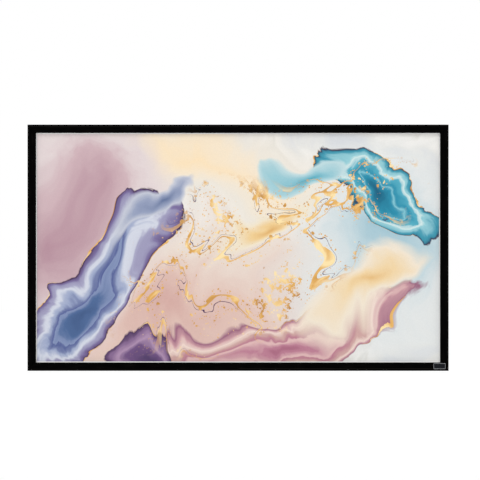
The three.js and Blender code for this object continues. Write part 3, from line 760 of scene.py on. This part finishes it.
# the print stops just short of the frame
printInset = faceWidth + inkPrint["margin"]
fromMiddle = addNode(tree, "ShaderNodeVectorMath", {0: point}, operation="ABSOLUTE")
axes = addNode(tree, "ShaderNodeSeparateXYZ", {"Vector": fromMiddle}).outputs
for axis, length in (("X", screenWidth), ("Z", screenHeight)):
    printed = addNode(tree, "ShaderNodeMath", {
        0: axes[axis], 1: (length / 2 - printInset) * mm}, operation="LESS_THAN")
    art = addNode(tree, "ShaderNodeMix", {
        "Factor": printed, "A": toLinear("#f6f6f4"), "B": art}, data_type="RGBA")
setInputs(shader, {"Base Color": art, "Normal": vinylEmboss(tree, point, 0.2)})


def pocketRuns(side):
    ends = [-side["length"] / 2 + cloth["hemEndInset"]]
    for s in clipPlaces(side):
        ends += [s - cloth["notch"], s + cloth["notch"]]
    ends.append(side["length"] / 2 - cloth["hemEndInset"])
    return list(zip(ends[::2], ends[1::2]))


# the hem leaves the sheet, turns round the rod and comes back under the weld
hemReach = cloth["foldStart"] - cloth["rodU"]
hemRise = cloth["front"] - 1.5 * cloth["thickness"] - rodV
hemSpan = math.hypot(hemRise, hemReach)
hemSlant = math.degrees(math.atan2(hemRise, hemReach) + math.asin(pocketRadius / hemSpan))
hemPath = bentPath((cloth["foldStart"], cloth["front"] - cloth["thickness"] / 2), 180, [
    ("go", hemReach), ("turn", 180 + hemSlant, pocketRadius),
    ("go", math.sqrt(hemSpan ** 2 - pocketRadius ** 2))], arcStep=15)
hem = [stripOutline(hemPath, cloth["thickness"])]
weldOuter = cloth["foldStart"] - cloth["weldLap"]
weldInner = weldOuter + cloth["weldWidth"]
weldBack, weldFront = cloth["weldBack"], cloth["front"] - cloth["thickness"] + cloth["weldBite"]
weld = [roundedPath([
    (weldOuter, weldBack, cloth["weldRadius"]), (weldInner, weldBack, cloth["weldRadius"]),
    (weldInner, weldFront), (weldOuter, weldFront)], steps=2)]

fabric = bmesh.new()
edge = []
for side in sides.values():
    corner = side["length"] / 2 - cloth["notchEdge"]
    edge.append((side, cloth["notchEdge"], -corner))
    for start, end in pocketRuns(side):
        edge += [(side, cloth["notchEdge"], start), (side, cloth["foldStart"], start),
                 (side, cloth["foldStart"], end), (side, cloth["notchEdge"], end)]
sheetRings = [[[place(side, u, v, s) for side, u, s in edge]]
              for v in (cloth["front"] - cloth["thickness"], cloth["front"])]
loft(fabric, sheetRings, slots=(1, 1, 0))
for side in sides.values():
    weldEnd = side["length"] / 2 - cloth["hemEndInset"]
    sweepSide(fabric, side, [(weld, -weldEnd, 0), (weld, weldEnd, 0)], slot=2)
    for start, end in pocketRuns(side):
        sweepSide(fabric, side, [(hem, start, 0), (hem, end, 0)], slot=1)
fabricPiece = makePiece("projection_cloth", fabric, [picture, matteVinyl, weldedVinyl])
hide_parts("projection_fabric")

# Set screws that lock the elbows and splices in the rails

screw = {
    "radius": 2.45, "root": 2.1, "pitch": 0.8, "back": 2.2, "front": 8.7, "facets": 24,
    "socket": 2.5,  # across the hexagon's flats
    "socketDepth": 2.4, "chamfer": 0.4, "tipRadius": 1.6, "tipLength": 0.6,
    "u": 8.5, "fromCorner": 40, "step": 35, "fromMiddle": 25,
}

# Blackened alloy steel: dark oily grey that shines on its edges
blackenedSteel, tree, shader, point = newMaterial("blackenedAlloySteel", {"Metallic": 1.0})
oil = addNode(tree, "ShaderNodeTexNoise", {"Vector": point, "Scale": 500, "Detail": 3})  # 2 mm patches
toneAndGloss(tree, shader, oil, [(0.3, "#29292b"), (0.7, "#3c3b3a")], 0.3, 0.5)


def makeScrew():
    # loops run from the socket's floor, out over the end and forwards along the thread to the point
    bm = bmesh.new()
    hexagon = []
    for k in range(screw["facets"]):
        a = 2 * math.pi * k / screw["facets"]
        reach = screw["socket"] / 2 / math.cos((a % (math.pi / 3)) - math.pi / 6)
        hexagon.append(Vector((reach * math.cos(a), reach * math.sin(a))))
    root, crest, tip = (circlePath(0, 0, radius, screw["facets"])
                        for radius in (screw["root"], screw["radius"], screw["tipRadius"]))
    v = screw["back"] + screw["chamfer"]
    loops = [(hexagon, screw["back"] + screw["socketDepth"]), (hexagon, screw["back"]),
             (root, screw["back"]), (crest, v)]
    while v + screw["pitch"] < screw["front"] - screw["tipLength"]:
        loops += [(root, v + screw["pitch"] / 2), (crest, v + screw["pitch"])]
        v += screw["pitch"]
    loops.append((tip, screw["front"]))
    loft(bm, [[[sourcePoint(p.x, v, p.y) for p in loop]] for loop, v in loops])
    return meshObject("screw source", bm)


screwSource = makeScrew()
screws = bmesh.new()
for side in sides.values():
    cornerS = side["length"] / 2 - screw["fromCorner"]
    starts = [-cornerS, cornerS - screw["step"]]
    if side["length"] == screenWidth:
        starts += [-screw["fromMiddle"] - screw["step"], screw["fromMiddle"]]
    for start in starts:
        addRow(screws, screwSource, side, blackenedSteel, start, screw["step"], 2, screw["u"])
bpy.data.objects.remove(screwSource)
makePiece("set_screws", screws, [blackenedSteel], 30)
print("screws done")

# Badge: a blank plate with a raised rim, across the lower right mitre

badge = {
    "radius": 3, "innerRadius": 0.6, "rim": 1.2, "recess": 0.4,
    "edge": 0.25, "edgeMiddle": 0.075,  # the rim's edges turn over in two steps
}

# Satin anodised aluminium, dyed black: a fine grain across the plate that catches a little light
satinPlate, tree, shader, point = newMaterial("satinAnodisedAluminium", {"Metallic": 1.0})
grain = drawnOut(tree, point, (40, 1, 2000), 2)  # grain 0.5 mm wide
toneAndGloss(tree, shader, grain, [(0.3, "#16171a"), (0.7, "#232428")], 0.32, 0.48)

# Diamond-cut aluminium: the rim's anodising is cut through to bright metal
brightRim, tree, shader, point = newMaterial("diamondCutAluminium", {"Metallic": 1.0})
smear = addNode(tree, "ShaderNodeTexNoise", {"Vector": point, "Scale": 300, "Detail": 2})  # 3 mm
toneAndGloss(tree, shader, smear, [(0.3, "#b2b4b7"), (0.7, "#c6c8ca")], 0.14, 0.26)

badgeLow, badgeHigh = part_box("badge_plate")


def badgeLoop(inset, depth):
    # depth is measured back from the rim's top
    x0, x1 = badgeLow.x / mm + inset, badgeHigh.x / mm - inset
    z0, z1 = badgeLow.z / mm + inset, badgeHigh.z / mm - inset
    radius = max(badge["innerRadius"], badge["radius"] - inset)
    corners = [(x0, z0, radius), (x1, z0, radius), (x1, z1, radius), (x0, z1, radius)]
    return [[Vector((p.x, badgeLow.y / mm + depth, p.y)) * mm for p in roundedPath(corners, steps=6)]]


plate = bmesh.new()
thickness = (badgeHigh.y - badgeLow.y) / mm
rim, edge, edgeMiddle = badge["rim"], badge["edge"], badge["edgeMiddle"]
loft(plate, [
    badgeLoop(0, thickness), badgeLoop(0, edge), badgeLoop(edgeMiddle, edgeMiddle), badgeLoop(edge, 0),
    badgeLoop(rim - edge, 0), badgeLoop(rim - edgeMiddle, edgeMiddle), badgeLoop(rim, badge["recess"]),
], slots=(0, 0, 1))
badgePiece = makePiece("blank_badge", plate, [brightRim, satinPlate], 40)
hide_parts("badge_plate")
print("badge done")

# The CAD nodes that stay: joiners, bar, plugs and brackets, with their edges taken off

# Zinc-plated steel: cool bright grey with a faint blue and straw cloud from the passivation
zincSteel, tree, shader, point = newMaterial("zincPlatedSteel", {"Metallic": 1.0})
spangle = addNode(tree, "ShaderNodeTexVoronoi", {"Vector": point, "Scale": 250})  # crystals 4 mm across
cloud = addNode(tree, "ShaderNodeTexNoise", {"Vector": point, "Scale": 60, "Detail": 3})  # 17 mm clouds
cloudTone = addNode(tree, "ShaderNodeValToRGB", {"Fac": cloud}, stops=[
    (0.35, "#868e97"), (0.5, "#929494"), (0.65, "#9c9888")])
spangleGloss = addNode(tree, "ShaderNodeMapRange", {"Value": spangle, "To Min": 0.3, "To Max": 0.5})
spangleBump = addNode(tree, "ShaderNodeBump", {"Height": spangle, "Strength": 0.1, "Distance": 0.00005})
setInputs(shader, {"Base Color": cloudTone, "Roughness": spangleGloss, "Normal": spangleBump})

# Anodised aluminium tube: even satin silver with die lines along its height
anodisedBar, tree, shader, point = newMaterial("anodisedAluminium", {"Metallic": 1.0})
barNoise = drawnOut(tree, point, (1800, 1800, 3), 2)  # 0.5 mm lines
toneAndGloss(tree, shader, barNoise, [(0.3, "#a0a2a4"), (0.7, "#b2b4b6")], 0.34, 0.46)

# Powder-coated steel: black with the soft pebble of the melted powder
powderSteel, tree, shader, point = newMaterial("powderCoatedSteel", {"IOR": 1.5})
pebble = addNode(tree, "ShaderNodeTexNoise", {"Vector": point, "Scale": 700, "Detail": 2})  # 1.4 mm pebbles
toneAndGloss(tree, shader, pebble, [(0.3, "#151617"), (0.7, "#1c1d1f")], 0.38, 0.55)
pebbleBump = addNode(tree, "ShaderNodeBump", {"Height": pebble, "Strength": 0.3, "Distance": 0.0001})
setInputs(shader, {"Normal": pebbleBump})

finishes = {  # finish, and how much the edges lose
    "corner_elbow": (zincSteel, 0.3), "rail_splice": (zincSteel, 0.3),
    "support_bar": (anodisedBar, 0.2), "support_bar_plug": (nylon, 0.3),
    "wall_bracket": (powderSteel, 0.3),
}
cornerMerge = 0.01  # corners nearer than this become one
for name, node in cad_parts.items():
    fitting = [start for start in finishes if name.startswith(start)]
    if not fitting:
        continue
    material, edgeCut = finishes[max(fitting, key=len)]
    for slot in node.material_slots:
        slot.material = material
    merge = node.modifiers.new("merge corners", "WELD")
    merge.merge_threshold = cornerMerge * mm
    bevel = node.modifiers.new("edges taken off", "BEVEL")
    bevel.width = edgeCut * mm
    bevel.segments = 2
    bevel.limit_method = "ANGLE"
    bevel.angle_limit = math.radians(35)
print("finishes done")

# Studio: white round the object, a pale floor under it, four soft lamps and one high light

studio = {
    "lens": 120, "distance": 8880, "cameraX": 10.8, "cameraZ": 42.8,
    "floorDrop": 1000, "floorSize": 60000,
    "skyLight": 0.7, "sun": 0.7, "sunHeight": 50, "sunTurn": -25, "sunSoftness": 20,
    "lampPower": 40, "lampSize": 2500, "lampX": 3200, "lampY": 4200, "lampZ": 1300,
    "floorBounce": 0.9,  # share of the light that the floor throws back
    "floorWhite": 1.005,  # and its brightness to the eye
}
scene = bpy.context.scene
scene.view_settings.view_transform = "Standard"


def seenByEye(tree):
    # 1 for rays of the camera, straight or by way of a shiny or clear surface, and 0 for the rest
    ray = addNode(tree, "ShaderNodeLightPath").outputs
    shiny = addNode(tree, "ShaderNodeMath", {
        0: ray["Is Glossy Ray"], 1: ray["Is Transmission Ray"]}, operation="MAXIMUM")
    return addNode(tree, "ShaderNodeMath", {0: ray["Is Camera Ray"], 1: shiny}, operation="MAXIMUM")


camera = addObject("camera", bpy.data.cameras.new("camera"))
camera.data.sensor_width = 36
camera.data.lens = studio["lens"]
camera.location = Vector((studio["cameraX"], -studio["distance"], studio["cameraZ"])) * mm
camera.rotation_euler = (math.pi / 2, 0, 0)
scene.camera = camera

world = bpy.data.worlds.new("white studio")
world.use_nodes = True
scene.world = world
tree = world.node_tree
strength = addNode(tree, "ShaderNodeMapRange", {"Value": seenByEye(tree), "To Min": studio["skyLight"]})
setInputs(tree.nodes["Background"], {"Color": (1, 1, 1, 1), "Strength": strength})

# Painted floor: white to the eye, with the object's soft shadow on it
floorPaint, tree, shader, _ = newMaterial("paintedFloor", {
    "Base Color": (studio["floorBounce"],) * 3 + (1,), "Roughness": 0.9, "Specular IOR Level": 0.1}, None)
sunOnFloor = studio["sun"] * math.sin(math.radians(studio["sunHeight"])) / math.pi
thrownBack = studio["floorBounce"] * (studio["skyLight"] + sunOnFloor)
glow = addNode(tree, "ShaderNodeMapRange", {
    "Value": seenByEye(tree), "To Max": studio["floorWhite"] - thrownBack})
setInputs(shader, {"Emission Color": (1, 1, 1, 1), "Emission Strength": glow})
floorMesh = bpy.data.meshes.new("floor")
half = studio["floorSize"] / 2 * mm
floorZ = (-screenHeight / 2 - studio["floorDrop"]) * mm
floorCorners = [(x * half, y * half, floorZ) for x, y in ((-1, -1), (1, -1), (1, 1), (-1, 1))]
floorMesh.from_pydata(floorCorners, [], [(0, 1, 2, 3)])
floorMesh.materials.append(floorPaint)
floor = addObject("floor", floorMesh)

# one soft high light gives the floor its shadow, and four low lamps leave the floor out so that it stays even
sun = addObject("high light", bpy.data.lights.new("high light", "SUN"))
sun.data.energy = studio["sun"]
sun.data.angle = math.radians(studio["sunSoftness"])
sun.rotation_euler = (math.radians(90 - studio["sunHeight"]), 0, math.radians(studio["sunTurn"]))
notLit = bpy.data.collections.new("not lit by the lamps")
notLit.objects.link(floor)
notLit.collection_objects[0].light_linking.link_state = "EXCLUDE"
for turnX, turnY in ((-1, -1), (1, -1), (-1, 1), (1, 1)):
    lamp = addObject("soft lamp", bpy.data.lights.new("soft lamp", "AREA"))
    lamp.data.energy = studio["lampPower"]
    lamp.data.size = studio["lampSize"] * mm
    lamp.location = Vector((turnX * studio["lampX"], turnY * studio["lampY"], studio["lampZ"])) * mm
    lamp.rotation_euler = (-lamp.location).to_track_quat("-Z", "Y").to_euler()
    lamp.visible_camera = False
    lamp.light_linking.receiver_collection = notLit
print("studio done")
